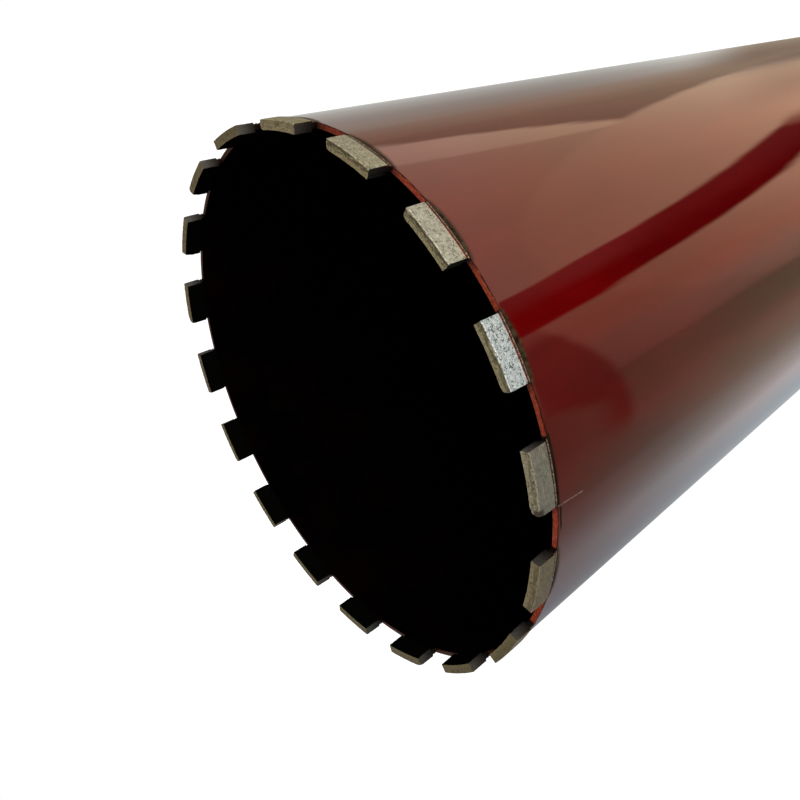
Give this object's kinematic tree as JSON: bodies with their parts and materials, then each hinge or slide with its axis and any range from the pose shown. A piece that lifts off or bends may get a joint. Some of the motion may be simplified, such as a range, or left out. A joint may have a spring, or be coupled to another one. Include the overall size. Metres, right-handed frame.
{
  "type": "diamond core bit",
  "caption": "Thin-walled steel barrel with a crown of diamond cutting segments on its open rim, a welded back plate and a threaded hub for the drill spindle.",
  "frame": {"origin": "centre of the hub's end face, on the axis of rotation", "axes": "+Z along the axis of rotation towards the cutting rim, +X through the middle of segment_01"},
  "size_m": [0.2514, 0.2506, 0.5749],
  "materials": {
    "barrel": "glossy dark red lacquer, heat-marked behind each weld",
    "back_plate": "glossy dark red lacquer",
    "hub": "turned bare steel",
    "segment": "sintered metal with diamond grit, ground on the outside, used"
  },
  "bodies": {
    "root": {"barrel": "barrel", "back_plate": "back_plate", "spindle_hub": "hub", "segment_01": "segment", "segment_02": "segment", "segment_03": "segment", "segment_04": "segment", "segment_05": "segment", "segment_06": "segment", "segment_07": "segment", "segment_08": "segment", "segment_09": "segment", "segment_10": "segment", "segment_11": "segment", "segment_12": "segment", "segment_13": "segment", "segment_14": "segment", "segment_15": "segment", "segment_16": "segment", "segment_17": "segment", "segment_18": "segment"}
  },
  "joints": []
}
